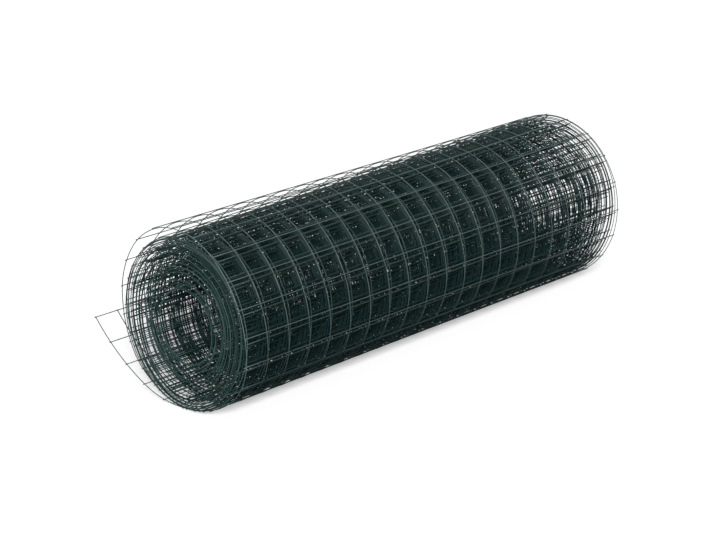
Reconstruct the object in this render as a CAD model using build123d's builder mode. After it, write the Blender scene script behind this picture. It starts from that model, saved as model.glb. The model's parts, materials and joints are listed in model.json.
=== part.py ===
"""Roll of plastic-coated welded wire mesh, lying on its side.

The tightly wound turns are one turned body with an open bore and a ridge for each turn on both ends.
The last turn is loose over the top of the roll, and the free end of the sheet stands off near the floor.
Both of these are open mesh: line wires follow the winding and cross wires run along the roll.

Millimetres. +X runs along the roll, +Z is up and the free end points to +Y.
The origin is the middle of the bottom of the part's bounding box.
"""

import math
import os

from build123d import *

# The sheet of mesh
sheet_width = 500.0
sheet_length = 10000.0
cell_size = 25.0
wire_size = 0.8
weld_sink = 0.15

# The tightly wound roll
bore_diameter = 62.0
turn_pitch = 1.45
end_groove_depth = 1.2

# The loose stretch of the last turn, with angles counted from +Y towards +Z
loose_rise = 10.5
loose_start_angle = 136.0
loose_peak_angle = 66.0
loose_end_angle = -4.0

# The free end, which bends less towards its tip
free_end_cells = 5
free_end_start = 2.5
root_bend_radius = 112.0
tip_bend_radius = 186.0
root_bend_share = 0.42

# Sizes that follow from those above
bore_radius = bore_diameter / 2
roll_radius = math.sqrt(bore_radius**2 + sheet_length * turn_pitch / math.pi)
turn_count = math.floor((roll_radius - bore_radius) / turn_pitch)
groove_width = turn_pitch - wire_size
weld_offset = wire_size - weld_sink
free_end_length = free_end_cells * cell_size
line_wire_count = round(sheet_width / cell_size) + 1
line_wire_spacing = (sheet_width - wire_size) / (line_wire_count - 1)


def on_roll(radius, angle):
    """Point at a distance from the roll's axis, at an angle from +Y towards +Z."""
    turn = math.radians(angle)
    return (radius * math.cos(turn), radius * math.sin(turn))


def cross_wire_places(path, distances):
    """Places of the cross wires, one weld outside a line wire, at distances along its path."""
    places = []
    for distance in distances:
        share = distance / path.length
        point = path.position_at(share)
        heading = path.tangent_at(share)
        outward = Vector(heading.Y, -heading.X)
        if outward.dot(point) < 0:
            outward = -outward
        centre = point + outward * weld_offset
        angle = math.degrees(math.atan2(heading.Y, heading.X))
        places.append(Location((centre.X, centre.Y, 0), angle))
    return places


# Centre lines of one line wire, drawn across the roll with its axis at zero
with BuildLine(mode=Mode.PRIVATE) as loose_path:
    ThreePointArc(
        on_roll(roll_radius - turn_pitch, loose_start_angle),
        on_roll(roll_radius + loose_rise, loose_peak_angle),
        on_roll(roll_radius - turn_pitch, loose_end_angle),
    )

root_length = free_end_length * root_bend_share
tip_length = free_end_length - root_length
with BuildLine(mode=Mode.PRIVATE) as free_end_path:
    root_bend = JernArc(
        start=(free_end_start, -roll_radius + weld_offset + wire_size / 2),
        tangent=(1, 0),
        radius=root_bend_radius,
        arc_size=math.degrees(root_length / root_bend_radius),
    )
    JernArc(
        start=root_bend @ 1,
        tangent=root_bend % 1,
        radius=tip_bend_radius,
        arc_size=math.degrees(tip_length / tip_bend_radius),
    )

loose_wire = loose_path.wire()
free_end_wire = free_end_path.wire()
loose_cells = math.floor(loose_wire.length / cell_size)
loose_margin = (loose_wire.length - loose_cells * cell_size) / 2
loose_distances = [loose_margin + cell_size * step for step in range(loose_cells + 1)]
free_end_distances = [cell_size * step for step in range(1, free_end_cells + 1)]

with BuildPart() as mesh_roll:
    # Tight turns: half of the lengthwise section, with a groove between each turn and the next
    with BuildSketch(Plane.XY) as half_section:
        with Locations((0, (bore_radius + roll_radius) / 2)):
            Rectangle(sheet_width, roll_radius - bore_radius)
        for turn in range(1, turn_count):
            groove_radius = bore_radius + turn * turn_pitch - groove_width / 2
            for end in (-1, 1):
                with Locations((end * (sheet_width - end_groove_depth) / 2, groove_radius)):
                    Rectangle(end_groove_depth, groove_width, mode=Mode.SUBTRACT)
    revolve(axis=Axis.X)

    # Line wires of the loose turn and the free end
    line_wire_planes = [
        Plane.YZ.offset(line_wire_spacing * (step - (line_wire_count - 1) / 2))
        for step in range(line_wire_count)
    ]
    with BuildSketch(*line_wire_planes) as line_wires:
        SlotArc(loose_wire, wire_size)
        SlotArc(free_end_wire, wire_size)
    extrude(amount=wire_size / 2, both=True)

    # Cross wires of both, from one end of the roll to the other
    with BuildSketch(Plane.YZ.offset(-sheet_width / 2)) as cross_wires:
        with Locations(*cross_wire_places(loose_wire, loose_distances)):
            Rectangle(wire_size, wire_size)
        with Locations(*cross_wire_places(free_end_wire, free_end_distances)):
            Rectangle(wire_size, wire_size)
    extrude(amount=sheet_width)

# Stand the part on the floor, with its bounding box centred on the origin
box = mesh_roll.part.bounding_box()
mesh_roll.part = mesh_roll.part.moved(Location((-box.center().X, -box.center().Y, -box.min.Z)))
mesh_roll.part.label = "mesh_roll"

os.makedirs("parts", exist_ok=True)
export_step(mesh_roll.part, "parts/mesh_roll.step")
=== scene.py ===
"""Looks of a roll of plastic-coated welded wire mesh, lying on its side.

The whole sheet is laid out wire by wire along its winding. Line wires follow the winding, and cross wires
run along the roll, welded to the outer side of the line wires.

Metres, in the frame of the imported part: +X along the roll, +Z up, and the free end points to +Y.
The near end of the roll is at -X and its front is at -Y.
The sheet's root is where its free end leaves the bottom of the roll.
A distance is counted along the sheet from its root, below zero on the free end and above on the winding.
Turns and winding angles are counted from the root inwards. The outermost turn, wound last, is the last turn.
A front angle is counted from the front, going up over the top.
A share along the roll goes from zero at the near end to one at the far end.
"""

import json
import math

import bpy
import numpy as np
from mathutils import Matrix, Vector

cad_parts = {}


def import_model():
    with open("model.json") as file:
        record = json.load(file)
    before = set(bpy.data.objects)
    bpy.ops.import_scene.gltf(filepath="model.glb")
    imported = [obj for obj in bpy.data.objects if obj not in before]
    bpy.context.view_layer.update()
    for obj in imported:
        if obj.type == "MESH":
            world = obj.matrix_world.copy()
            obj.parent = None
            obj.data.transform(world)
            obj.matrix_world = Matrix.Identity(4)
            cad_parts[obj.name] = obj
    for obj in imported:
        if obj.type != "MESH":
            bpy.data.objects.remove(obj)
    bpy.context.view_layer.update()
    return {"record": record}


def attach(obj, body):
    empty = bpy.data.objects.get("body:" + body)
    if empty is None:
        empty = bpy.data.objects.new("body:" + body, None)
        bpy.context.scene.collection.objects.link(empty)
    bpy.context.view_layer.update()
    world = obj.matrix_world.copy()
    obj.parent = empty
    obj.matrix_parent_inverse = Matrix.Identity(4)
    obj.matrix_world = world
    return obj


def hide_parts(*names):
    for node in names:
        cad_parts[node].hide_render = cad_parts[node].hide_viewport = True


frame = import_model()
bore = next(mount for mount in frame["record"]["mounts"] if mount["name"] == "bore")
random = np.random.default_rng(11)

ALONG_ROLL = np.array([1.0, 0.0, 0.0])
FULL_TURN = 2 * math.pi
MILLIMETRES_PER_METRE = 1000

# The sheet of mesh
CELL_SIZE = 0.025
WIRE_DIAMETER = 0.0008
WELD_SINK = 0.00015
WELD_OFFSET = WIRE_DIAMETER - WELD_SINK
SHEET_WIDTH = bore["dims"]["length_mm"] / MILLIMETRES_PER_METRE
WIRE_OVERHANG = 0.0008
LINE_WIRES = round(SHEET_WIDTH / CELL_SIZE) + 1

# The roll's axis, and the winding's outer and inner radius at the line wires
AXIS_Y, AXIS_Z = bore["pos_m"][1:]
OUTER_RADIUS = AXIS_Z - WELD_OFFSET - WIRE_DIAMETER / 2
INNER_RADIUS = bore["dims"]["r_mm"] / MILLIMETRES_PER_METRE + WIRE_DIAMETER / 2

# The bunches that the turns lie in, from the outside in: turns in each, and spacing in and between bunches
OUTER_BUNCHES = (1, 3, 2, 3, 2, 3)
OUTER_PITCH = 0.0008
OUTER_GAP = 0.0019
INNER_BUNCHES = (2, 8, 6)
INNER_PITCH = 0.0012
INNER_GAP = 0.0038
TURNS = sum(OUTER_BUNCHES) + sum(INNER_BUNCHES)
TURN_PITCH = (OUTER_RADIUS - INNER_RADIUS) / TURNS

# Bunches show in full at the near end and in part at the far end, each over a share of the roll's length
BUNCHED_LENGTH_SHARE = 0.18
FAR_BUNCHING_SHARE = 0.3

# How uneven the turns are, and the share of a turn in which one goes over to the next
TURN_UNEVENNESS = 0.00012
TURN_SEAM_SHARE = 0.2

# The part of a turn in which the waves come in at the root, and how far the front and the back lie in
WAVES_START_TURNS = 0.5
SIDE_FLATTENING = 0.0008

# How far the middle turns sag at the bottom and lie in at the back, and the share of that by turns
BOTTOM_SAG = 0.005
BACK_SLACK = 0.004
SAGGING_TURNS = (0.5, 9.5, 16, 28)
SAG_SHARES = (0, 1, 1, 0)

# How far the turns lie from each other along the roll, the second one by itself, and the innermost
TURN_SHIFT = 0.0009
SECOND_TURN_SHIFT = 0.0035
INNER_TURNS_SHIFT = 0.003

# The last turn over the top: its rise, front angle of the peak and half its spread, at each end of the roll
LAST_TURN_NEAR = (0.012, math.radians(113), math.radians(92))
LAST_TURN_FAR = (0.0138, math.radians(88), math.radians(170))

# The turns under it: their rise at each end of the roll, front angle of the peak and half its spread
NEXT_TURNS_NEAR_RISE = 0.0053
NEXT_TURNS_FAR_RISE = 0.014
NEXT_TURNS_PLACE = (math.radians(100), math.radians(140))
NEXT_TURNS_COUNT = 28

# The near end of the last turn, pushed along the roll: how far, at which distance, and half its spread
LAST_TURN_SKEW = (0.008, 0.045, 0.09)

# Powers by which these rises and this push grow or fall along the roll and from turn to turn
LAST_TURN_GROWTH = 2
NEXT_TURNS_GROWTH = 1.5
NEXT_TURNS_FALL = 4
LAST_TURN_SKEW_FALL = 2

# The free end, which bends less towards its tip
FREE_END_CELLS = 5
FREE_END_START = 0.0025
FREE_END_LENGTH = FREE_END_START + FREE_END_CELLS * CELL_SIZE
ROOT_BEND_RADIUS = 0.112
TIP_BEND_RADIUS = 0.186
ROOT_BEND_SHARE = 0.42
ROOT_BEND_LENGTH = ROOT_BEND_SHARE * FREE_END_CELLS * CELL_SIZE

# Seeded waves: height, turns to a wave, and waves along the roll; on cross wires a cell counts as a radian
WAVES_IN_SUM = 6
WAVE_HEIGHT_SHARES = (0.4, 1)
WAVE_RATE_SHARES = (0.6, 1.6)
RADIUS_WAVES = (0.0003, 0.45, 1.2)
SHIFT_WAVES = (0.0008, 0.8, 0.15)
# The third waves make patches in the painted light
LIGHT_PATCH_WAVES = (0.4, 0.9, 0.3)
LINE_WIRE_WAVES = (0.0002, 0.12, 0)
CROSS_WIRE_WAVES = (0.0006, 0.02, 1.5)

# Painted light on the outer turns, with painted shade on the turns under them: how many turns deep, how much
# at the front, and how much more towards the top
LIT_TURNS = 2.2
FRONT_LIGHT = 0.48
UPWARD_LIGHT = 0.68

# More painted light towards the top: how many turns deep, how much at the top, and the power by which it
# falls from there
TOP_LIT_TURNS = 12
TOP_LIGHT = 0.22
TOP_LIGHT_FALL = 4

# Patches in the painted light on the outer turns, the top and the ends: the usual share of them and the
# least
USUAL_PATCH_SHARE = 0.75
LEAST_PATCH_SHARE = 0.25

# Painted light on the ring wires at both ends of the roll: how far in, and how bright on the dimmer turns
LIT_END = 0.012
DIM_TURN_BRIGHTNESS = 0.12

# Beads of coating round the welds: how much of the winding has them, and their shape in wire diameters
WELDED_LENGTH = 1.1
WELD_REACH_SHARES = (-1.1, -0.5, 0.5, 1.1)
WELD_RADIUS_SHARES = (0.35, 0.75, 0.75, 0.35)

# How finely the wires and the winding are divided, and how many columns their texture has
STEPS_PER_CELL = 4
WIRE_SIDES = 6
WINDING_STEPS = 12000
BAKE_COLUMNS = 256

# Colours of the coat
DARKEST_WIRE = (0.0083, 0.0267, 0.0229)
LIGHTEST_WIRE = (0.0130, 0.0371, 0.0319)
BLUISH_PATCH = (0.0114, 0.0299, 0.0364)
# Painted light on the ring wires at the ends of the roll
END_LIGHT_COLOUR = (0.066, 0.131, 0.117)
# Painted light on the outer turns and towards the top
PAINTED_LIGHT_COLOUR = (0.166, 0.236, 0.230)
SCUFF_COLOUR = (0.065, 0.117, 0.104)

# Noise in the coat: about how many lumps to a metre, and how much detail
PATCH_NOISE = (30, 1)
SCUFF_NOISE = (420, 4)
GLOSS_NOISE = (160, 3)
DENT_NOISE = (1800, 2)

# The range that is taken from this noise, lowest and highest, and what it becomes
PATCH_RANGE = (0.35, 0.65, 0, 0.7)
SCUFF_RANGE = (0.66, 0.8, 0, 0.35)
ROUGHNESS_RANGE = (0.3, 0.7, 0.3, 0.46)

# The coat's shine, in the painted shade and under the painted light, and its dents
SHADED_SPECULAR = 0.055
LIT_SPECULAR = 0.5
DENT_STRENGTH = 0.35
DENT_HEIGHT = 0.00008

# Sockets of a mix node that mixes colours
FIRST_COLOUR_SOCKET = 6
SECOND_COLOUR_SOCKET = 7
MIXED_COLOUR_SOCKET = 2

# The floor: half its side, its colour as it lights the roll and as it is seen, and its glow
FLOOR_HALF_SIZE = 15.0
FLOOR_BOUNCE = (0.2, 0.2, 0.2)
FLOOR_SEEN = (1.0, 1.0, 1.0)
FLOOR_GLOW = 0.46

# The light from all round
SURROUNDINGS_LIGHT = 0.06

# The camera, where the photograph was taken from
CAMERA_PLACE = Vector((-1.40244, -1.26064, 0.67947))
CAMERA_YAW = math.radians(47.744)
CAMERA_PITCH = math.radians(18.187)
CAMERA_LENS = 109.37
CAMERA_SENSOR = 36.0


def unit(vectors):
    """Vectors along the last axis, at length one."""
    return vectors / np.linalg.norm(vectors, axis=-1, keepdims=True)


class Waves:
    """A smooth uneven value along the winding and along the roll, the sum of a few seeded waves."""

    def __init__(self, height, turns_per_wave, waves_along):
        count = WAVES_IN_SUM
        self.heights = height * random.uniform(*WAVE_HEIGHT_SHARES, count) / math.sqrt(count)
        self.windings = random.uniform(*WAVE_RATE_SHARES, count) / turns_per_wave
        self.along = FULL_TURN * waves_along * random.uniform(-1, 1, count)
        self.phases = random.uniform(0, FULL_TURN, count)

    def at(self, winding, along):
        """The sum at a winding angle and a share along the roll."""
        total = 0
        for height, rate, slope, phase in zip(self.heights, self.windings, self.along, self.phases):
            total = total + height * np.sin(rate * winding + slope * along + phase)
        return total


def bunched_turns():
    """How far each turn lies from an even winding, in bunches, and the same with the bunches evened out."""
    gaps = []
    middles = []
    outer = (OUTER_BUNCHES, OUTER_PITCH, OUTER_GAP)
    inner = (INNER_BUNCHES, INNER_PITCH, INNER_GAP)
    for sizes, pitch, gap in (outer, inner):
        for size in sizes:
            middles.append(len(gaps) + (size - 1) / 2)
            gaps += [pitch] * (size - 1) + [gap]
    gaps[-1] = INNER_PITCH
    depths = np.concatenate([[0], np.cumsum(gaps)])
    depths = depths * (OUTER_RADIUS - INNER_RADIUS) / depths[-1]
    turns = np.arange(len(depths))
    middle_depths = np.interp(middles, turns, depths)
    evened = np.interp(turns, middles + [turns[-1]], np.append(middle_depths, depths[-1]))
    return TURN_PITCH * turns - depths, TURN_PITCH * turns - evened


def end_light_by_turn():
    """How much painted light each turn gets at its ends.

    The first turn of each outer bunch, every other inner turn and the innermost one are fully lit.
    """
    brightness = np.full(TURNS + 1, DIM_TURN_BRIGHTNESS)
    bunch_starts = np.cumsum((0,) + OUTER_BUNCHES)
    brightness[bunch_starts] = 1
    brightness[bunch_starts[-1] :: 2] = 1
    brightness[TURNS - 1] = 1
    return brightness


def turn_values(spread):
    """A seeded value for each turn, zero for the last one."""
    values = random.normal(0, spread, TURNS + 1)
    values[0] = 0
    return values


bunched_offsets, evened_offsets = bunched_turns()
end_lit_turns = end_light_by_turn()
turn_offsets = turn_values(TURN_UNEVENNESS)
shifts_along = turn_values(TURN_SHIFT) + INNER_TURNS_SHIFT * np.arange(TURNS + 1) / TURNS
shifts_along[1] += SECOND_TURN_SHIFT
radius_waves = Waves(*RADIUS_WAVES)
shift_waves = Waves(*SHIFT_WAVES)
light_patch_waves = Waves(*LIGHT_PATCH_WAVES)
line_wire_waves = [Waves(*LINE_WIRE_WAVES) for _ in range(LINE_WIRES)]
cross_wire_waves = Waves(*CROSS_WIRE_WAVES)


def bump(place, rise, peak, spread):
    """Smooth rise round a peak, nothing outside its spread."""
    away = np.clip((place - peak) / spread, -1, 1)
    return rise * (1 + np.cos(math.pi * away)) / 2


def smooth_step(share):
    """From zero to one, level at both ends."""
    share = np.clip(share, 0, 1)
    return share * share * (3 - 2 * share)


def by_turn(values, turns):
    """A value of each turn, going over to that of the next turn within a seam at the bottom of the roll."""
    turn = np.minimum(np.floor(turns), TURNS - 1).astype(int)
    seam = smooth_step((turns - turn - 1) / TURN_SEAM_SHARE + 1)
    return values[turn] + (values[turn + 1] - values[turn]) * seam


def looseness(turn, front_angle, along):
    """How far the turns stand off over the top: at the near end the last one most, at the far end all."""
    last_near = bump(front_angle, *LAST_TURN_NEAR)
    last_far = bump(front_angle, *LAST_TURN_FAR)
    last = last_near + (last_far - last_near) * along**LAST_TURN_GROWTH
    rise_growth = (NEXT_TURNS_FAR_RISE - NEXT_TURNS_NEAR_RISE) * along**NEXT_TURNS_GROWTH
    share = np.clip(1 - (turn / NEXT_TURNS_COUNT) ** NEXT_TURNS_FALL, 0, 1)
    following = share * bump(front_angle, NEXT_TURNS_NEAR_RISE + rise_growth, *NEXT_TURNS_PLACE)
    return np.where(turn < 1, last, following)


def winding_radius(winding, along):
    """Radius of the line wires at a winding angle and a share along the roll."""
    turns = winding / FULL_TURN
    turn = np.floor(turns).astype(int)
    front_angle = winding - FULL_TURN * turn - math.pi / 2
    near = 1 - smooth_step(along / BUNCHED_LENGTH_SHARE)
    far = 1 - smooth_step((1 - along) / BUNCHED_LENGTH_SHARE)
    bunched = near + FAR_BUNCHING_SHARE * far
    even = by_turn(turn_offsets + evened_offsets, turns)
    offset = even + by_turn(bunched_offsets - evened_offsets, turns) * bunched
    below = BOTTOM_SAG * np.maximum(-np.sin(front_angle), 0) ** 2
    behind = BACK_SLACK * np.maximum(-np.cos(front_angle), 0) ** 2
    sag = np.interp(turns, SAGGING_TURNS, SAG_SHARES) * (below - behind)
    uneven = smooth_step(turns / WAVES_START_TURNS) * radius_waves.at(winding, along)
    flattened = SIDE_FLATTENING * np.cos(front_angle) ** 2
    wound = OUTER_RADIUS - TURN_PITCH * turns
    return wound + looseness(turn, front_angle, along) + offset + sag + uneven - flattened


# Length of sheet wound up at each winding angle, measured at the middle of the roll
winding_steps = np.linspace(0, FULL_TURN * TURNS, WINDING_STEPS)
radius_steps = winding_radius(winding_steps, 1 / 2)
arc_steps = np.hypot(np.diff(radius_steps), radius_steps[1:] * np.diff(winding_steps))
length_steps = np.concatenate([[0], np.cumsum(arc_steps)])
WOUND_LENGTH = length_steps[-1]


def winding_at(distance):
    """Winding angle at a distance along the sheet, zero on the free end."""
    return np.interp(distance, length_steps, winding_steps)


def wound_sheet(distance, along):
    """Place across the roll, and outward direction, at a distance on the winding."""
    winding = winding_at(distance)
    radius = winding_radius(winding, along)
    outward_y = -np.sin(winding)
    outward_z = -np.cos(winding)
    return radius * outward_y, radius * outward_z, outward_y, outward_z


def free_end(distance):
    """Place across the roll, and outward direction, at a distance from the root towards the tip."""
    bent = np.maximum(distance - FREE_END_START, 0)
    root = np.minimum(bent, ROOT_BEND_LENGTH)
    tip = bent - root
    middle = root / ROOT_BEND_RADIUS
    heading = middle + tip / TIP_BEND_RADIUS
    y = np.minimum(distance, FREE_END_START) + ROOT_BEND_RADIUS * np.sin(middle)
    y = y + TIP_BEND_RADIUS * (np.sin(heading) - np.sin(middle))
    z = ROOT_BEND_RADIUS * (1 - np.cos(middle)) + TIP_BEND_RADIUS * (np.cos(middle) - np.cos(heading))
    return y, z - OUTER_RADIUS, np.sin(heading), -np.cos(heading)


def sheet(distance, along):
    """Points and outward directions on the sheet, at distances along it and shares along the roll."""
    wound = wound_sheet(np.maximum(distance, 0), along)
    free = free_end(np.maximum(-distance, 0))
    y, z, outward_y, outward_z = (np.where(distance < 0, f, w) for f, w in zip(free, wound))
    winding = winding_at(distance)
    shift = by_turn(shifts_along, winding / FULL_TURN) + shift_waves.at(winding, along)
    skew = (1 - along) ** LAST_TURN_SKEW_FALL * bump(distance, *LAST_TURN_SKEW)
    x = (along - 1 / 2) * (SHEET_WIDTH - 2 * WIRE_OVERHANG) + shift + skew
    points = np.stack([x, y + AXIS_Y, z + AXIS_Z], axis=-1)
    outward = np.stack(np.broadcast_arrays(0 * x, outward_y, outward_z), axis=-1)
    return points, outward


def coat_values(distance, along):
    """How much painted light the coat gets, most at the top and on the outer turns, with painted shade on
    the turns inside, and at the ends of the roll.
    """
    winding = winding_at(distance)
    turns = winding / FULL_TURN
    # Painted light, lighter towards the top and on the outer turns; the turns inside keep the dark colour as
    # painted shade
    upwards = np.clip(FRONT_LIGHT - UPWARD_LIGHT * np.cos(winding), 0, 1)
    top_lit = TOP_LIGHT * upwards**TOP_LIGHT_FALL * smooth_step(1 - turns / TOP_LIT_TURNS)
    outside = np.maximum(upwards * smooth_step(1 - turns / LIT_TURNS), top_lit)
    from_end = SHEET_WIDTH * np.minimum(along, 1 - along)
    # Painted light on the ring wires near both ends of the roll
    at_end = by_turn(end_lit_turns, turns) * smooth_step(1 - from_end / LIT_END)
    patchy = np.clip(USUAL_PATCH_SHARE + light_patch_waves.at(winding, along), LEAST_PATCH_SHARE, 1)
    return {"wire_wear": patchy * outside, "wire_end": patchy * at_end}


def strip_map(mesh, wires, segments):
    """Unroll the wires into rows of strips, so that every face has its own place on a texture."""
    columns = min(BAKE_COLUMNS, segments)
    strips = math.ceil(segments / columns)
    wire, segment, side = np.indices((wires, segments, WIRE_SIDES))
    row = (wire * strips + segment // columns) * WIRE_SIDES + side
    column = segment % columns
    cap_row = wires * strips * WIRE_SIDES
    cap = np.arange(2 * wires)
    rows = cap_row + math.ceil(len(cap) / columns)
    quad_u = np.stack([column, column, column + 1, column + 1], axis=-1) / columns
    quad_v = np.stack([row, row + 1, row + 1, row], axis=-1) / rows
    turn = FULL_TURN * np.arange(WIRE_SIDES) / WIRE_SIDES
    cap_u = (cap[:, None] % columns + (1 + np.cos(turn)) / 2) / columns
    cap_v = (cap_row + cap[:, None] // columns + (1 + np.sin(turn)) / 2) / rows
    u = np.concatenate([quad_u.ravel(), cap_u.ravel()])
    v = np.concatenate([quad_v.ravel(), cap_v.ravel()])
    layer = mesh.uv_layers.new(name="OFBake")
    layer.data.foreach_set("uv", np.stack([u, v], axis=-1).ravel())


def point_value(mesh, name, values):
    """A number for each point of a mesh, for its material."""
    attribute = mesh.attributes.new(name, "FLOAT", "POINT")
    attribute.data.foreach_set("value", np.repeat(values.ravel(), WIRE_SIDES))


def wires_piece(name, centres, outward, radii, coat, material):
    """One piece of many round wires with closed ends, along rows of points."""
    wires, stations, _ = centres.shape
    heading = unit(np.gradient(centres, axis=1))
    across = unit(np.cross(heading, outward))
    up = np.cross(across, heading)
    turn = FULL_TURN * np.arange(WIRE_SIDES)[:, None] / WIRE_SIDES
    ring = np.cos(turn) * up[:, :, None] + np.sin(turn) * across[:, :, None]
    points = centres[:, :, None] + np.reshape(radii, (-1, 1, 1)) * ring

    index = np.arange(wires * stations * WIRE_SIDES).reshape(wires, stations, WIRE_SIDES)
    beside = np.roll(index, -1, axis=2)
    quads = np.stack([index[:, :-1], beside[:, :-1], beside[:, 1:], index[:, 1:]], axis=-1)
    caps = np.concatenate([index[:, 0, ::-1], index[:, -1]])
    mesh = bpy.data.meshes.new(name)
    faces = quads.reshape(-1, 4).tolist() + caps.tolist()
    mesh.from_pydata(points.reshape(-1, 3).tolist(), [], faces)
    smooth = np.arange(len(faces)) < len(faces) - len(caps)
    mesh.polygons.foreach_set("use_smooth", smooth)
    strip_map(mesh, wires, stations - 1)
    point_value(mesh, "wire_tint", np.repeat(random.uniform(0, 1, wires), stations))
    for value_name, values in coat.items():
        point_value(mesh, value_name, values)
    mesh.materials.append(material)

    piece = bpy.data.objects.new(name, mesh)
    bpy.context.collection.objects.link(piece)
    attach(piece, "root")
    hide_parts("mesh_roll")


def line_wires(name, numbers, material):
    """Line wires of these numbers, counted from the near end, from the tip of the sheet to its inner end."""
    distance = np.arange(-FREE_END_LENGTH, WOUND_LENGTH, CELL_SIZE / STEPS_PER_CELL)[None, :]
    along = np.array(numbers)[:, None] / (LINE_WIRES - 1)
    centres, outward = sheet(distance, along)
    winding = winding_at(distance[0])
    for row, number in enumerate(numbers):
        centres[row, :, 0] += line_wire_waves[number].at(winding, 0)
    wires_piece(name, centres, outward, WIRE_DIAMETER / 2, coat_values(distance, along), material)


def cross_wire_points(distance, along, height):
    """Points and outward directions along the cross wires, at a height over the middle of the line wires."""
    points, outward = sheet(distance, along)
    sideways = cross_wire_waves.at(distance / CELL_SIZE, along)[..., None]
    return points + height * outward + sideways * np.cross(ALONG_ROLL, outward), outward


def cross_wires(name, material):
    """Cross wires from one end of the roll to the other, a cell apart along the sheet."""
    distance = np.arange(-FREE_END_LENGTH, WOUND_LENGTH, CELL_SIZE)[:, None]
    along = np.linspace(0, 1, LINE_WIRES)[None, :]
    centres, outward = cross_wire_points(distance, along, WELD_OFFSET)
    centres[:, 0, 0] -= WIRE_OVERHANG
    centres[:, -1, 0] += WIRE_OVERHANG
    wires_piece(name, centres, outward, WIRE_DIAMETER / 2, coat_values(distance, along), material)


def welds(name, material):
    """Beads of coating round the welds of the outer turns and the free end."""
    distance = np.arange(-FREE_END_LENGTH, WELDED_LENGTH, CELL_SIZE)[:, None]
    along = np.linspace(0, 1, LINE_WIRES)[None, :]
    centres, outward = cross_wire_points(distance, along, WELD_OFFSET / 2)
    reach = WIRE_DIAMETER * np.array(WELD_REACH_SHARES)
    radii = WIRE_DIAMETER * np.array(WELD_RADIUS_SHARES)
    beads = centres.reshape(-1, 1, 3) + reach[:, None] * ALONG_ROLL
    outward = np.broadcast_to(outward.reshape(-1, 1, 3), beads.shape)
    coat = {key: np.repeat(values, len(reach)) for key, values in coat_values(distance, along).items()}
    wires_piece(name, beads, outward, radii, coat, material)


def node(tree, kind, **settings):
    """A new shader node with some of its properties set."""
    made = tree.nodes.new(kind)
    for key, value in settings.items():
        setattr(made, key, value)
    return made


def point_value_of(tree, name):
    """A number that the mesh holds for each of its points."""
    return node(tree, "ShaderNodeAttribute", attribute_name=name).outputs["Fac"]


def noise(tree, scale, detail):
    """Noise over the object's own coordinates, about one lump to each 1/scale metres."""
    place = node(tree, "ShaderNodeTexCoord")
    made = node(tree, "ShaderNodeTexNoise")
    made.inputs["Scale"].default_value = scale
    made.inputs["Detail"].default_value = detail
    tree.links.new(place.outputs["Object"], made.inputs["Vector"])
    return made.outputs["Fac"]


def mix_colour(tree, share, first, second):
    """A mix of two colours or colour sockets."""
    made = node(tree, "ShaderNodeMix", data_type="RGBA")
    tree.links.new(share, made.inputs["Factor"])
    for number, colour in ((FIRST_COLOUR_SOCKET, first), (SECOND_COLOUR_SOCKET, second)):
        if isinstance(colour, tuple):
            made.inputs[number].default_value = (*colour, 1)
        else:
            tree.links.new(colour, made.inputs[number])
    return made.outputs[MIXED_COLOUR_SOCKET]


def to_range(tree, value, low, high, to_low, to_high):
    """A value from one range, clamped and moved to another."""
    made = node(tree, "ShaderNodeMapRange")
    tree.links.new(value, made.inputs["Value"])
    ends = zip(("From Min", "From Max", "To Min", "To Max"), (low, high, to_low, to_high))
    for name, number in ends:
        made.inputs[name].default_value = number
    return made.outputs["Result"]


def coat_colour(tree, painted_light):
    """Dark green, uneven from wire to wire and in patches, with painted light at the ends, on the outer
    turns and towards the top.
    """
    by_wire = mix_colour(tree, point_value_of(tree, "wire_tint"), DARKEST_WIRE, LIGHTEST_WIRE)
    patches = to_range(tree, noise(tree, *PATCH_NOISE), *PATCH_RANGE)
    patched = mix_colour(tree, patches, by_wire, BLUISH_PATCH)
    # Painted light on the ring wires at both ends of the roll
    by_place = mix_colour(tree, point_value_of(tree, "wire_end"), patched, END_LIGHT_COLOUR)
    # Painted light on the outer turns and towards the top
    lit_coat = mix_colour(tree, painted_light, by_place, PAINTED_LIGHT_COLOUR)
    scuffs = to_range(tree, noise(tree, *SCUFF_NOISE), *SCUFF_RANGE)
    return mix_colour(tree, scuffs, lit_coat, SCUFF_COLOUR)


def coated_wire():
    """Plastic coat of uneven gloss, with fine dents, and shinier under the painted light on the outer turns,
    a painted highlight.
    """
    material = bpy.data.materials.new("coated_wire_green")
    material.use_nodes = True
    tree = material.node_tree
    shader = tree.nodes["Principled BSDF"]
    painted_light = point_value_of(tree, "wire_wear")
    tree.links.new(coat_colour(tree, painted_light), shader.inputs["Base Color"])
    roughness = to_range(tree, noise(tree, *GLOSS_NOISE), *ROUGHNESS_RANGE)
    tree.links.new(roughness, shader.inputs["Roughness"])
    # Shinier under the painted light, a painted highlight, and duller in the painted shade inside
    specular = to_range(tree, painted_light, 0, 1, SHADED_SPECULAR, LIT_SPECULAR)
    tree.links.new(specular, shader.inputs["Specular IOR Level"])
    dents = node(tree, "ShaderNodeBump")
    dents.inputs["Strength"].default_value = DENT_STRENGTH
    dents.inputs["Distance"].default_value = DENT_HEIGHT
    tree.links.new(noise(tree, *DENT_NOISE), dents.inputs["Height"])
    tree.links.new(dents.outputs["Normal"], shader.inputs["Normal"])
    return material


def seen_directly(tree):
    """One for camera, glossy and transmission rays, zero for the rays that light the object."""
    path = node(tree, "ShaderNodeLightPath")
    most = path.outputs["Is Camera Ray"]
    for name in ("Is Glossy Ray", "Is Transmission Ray"):
        larger = node(tree, "ShaderNodeMath", operation="MAXIMUM")
        tree.links.new(most, larger.inputs[0])
        tree.links.new(path.outputs[name], larger.inputs[1])
        most = larger.outputs[0]
    return most


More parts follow.
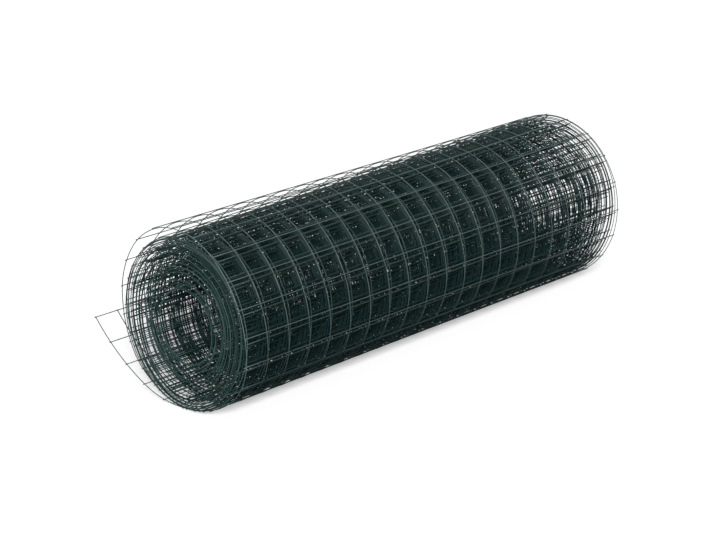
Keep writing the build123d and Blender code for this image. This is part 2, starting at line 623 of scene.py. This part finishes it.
def floor_material():
    """White floor that keeps shadows and reaches full white where it is lit and seen directly."""
    material = bpy.data.materials.new("floor_white")
    material.use_nodes = True
    tree = material.node_tree
    shader = tree.nodes["Principled BSDF"]
    seen = seen_directly(tree)
    tree.links.new(mix_colour(tree, seen, FLOOR_BOUNCE, FLOOR_SEEN), shader.inputs["Base Color"])
    shader.inputs["Roughness"].default_value = 1
    shader.inputs["Specular IOR Level"].default_value = 0
    shader.inputs["Emission Color"].default_value = (1, 1, 1, 1)
    tree.links.new(to_range(tree, seen, 0, 1, 0, FLOOR_GLOW), shader.inputs["Emission Strength"])
    return material


def floor():
    """Plain floor that the roll lies on."""
    half = FLOOR_HALF_SIZE
    mesh = bpy.data.meshes.new("floor")
    corners = [(-half, -half, 0), (half, -half, 0), (half, half, 0), (-half, half, 0)]
    mesh.from_pydata(corners, [], [(0, 1, 2, 3)])
    mesh.materials.append(floor_material())
    plane = bpy.data.objects.new("floor", mesh)
    bpy.context.collection.objects.link(plane)


def world():
    """Even white surroundings, faint as a light."""
    made = bpy.data.worlds.new("studio")
    made.use_nodes = True
    tree = made.node_tree
    background = tree.nodes["Background"]
    background.inputs["Color"].default_value = (1, 1, 1, 1)
    strength = to_range(tree, seen_directly(tree), 0, 1, SURROUNDINGS_LIGHT, 1)
    tree.links.new(strength, background.inputs["Strength"])
    bpy.context.scene.world = made


def soft_light(name, bearing, elevation, breadth, level):
    """A broad lamp far away, in degrees; its bearing goes from the front, -Y, towards the near end, -X."""
    lamp = bpy.data.lights.new(name, "SUN")
    lamp.angle = math.radians(breadth)
    lamp.energy = level
    holder = bpy.data.objects.new(name, lamp)
    turn = math.radians(bearing)
    lift = math.radians(elevation)
    towards = (-math.sin(turn) * math.cos(lift), -math.cos(turn) * math.cos(lift), math.sin(lift))
    holder.rotation_euler = Vector(towards).to_track_quat("Z", "Y").to_euler()
    bpy.context.collection.objects.link(holder)


def camera():
    """The camera at the photograph's viewing angle."""
    made = bpy.data.cameras.new("camera")
    made.lens = CAMERA_LENS
    made.sensor_width = CAMERA_SENSOR
    holder = bpy.data.objects.new("camera", made)
    level = math.cos(CAMERA_PITCH)
    forward = (math.sin(CAMERA_YAW) * level, math.cos(CAMERA_YAW) * level, -math.sin(CAMERA_PITCH))
    holder.location = CAMERA_PLACE
    holder.rotation_euler = Vector(forward).to_track_quat("-Z", "Y").to_euler()
    bpy.context.collection.objects.link(holder)
    bpy.context.scene.camera = holder


green = coated_wire()
third = LINE_WIRES // 3
line_wires("line_wires_near_end", range(third), green)
line_wires("line_wires_middle", range(third, 2 * third), green)
line_wires("line_wires_far_end", range(2 * third, LINE_WIRES), green)
cross_wires("cross_wires", green)
welds("welds", green)

floor()
world()
soft_light("lamp_front", bearing=47, elevation=30, breadth=16, level=3.15)
soft_light("lamp_above", bearing=47, elevation=78, breadth=40, level=0.15)
camera()
bpy.context.scene.view_settings.view_transform = "Standard"
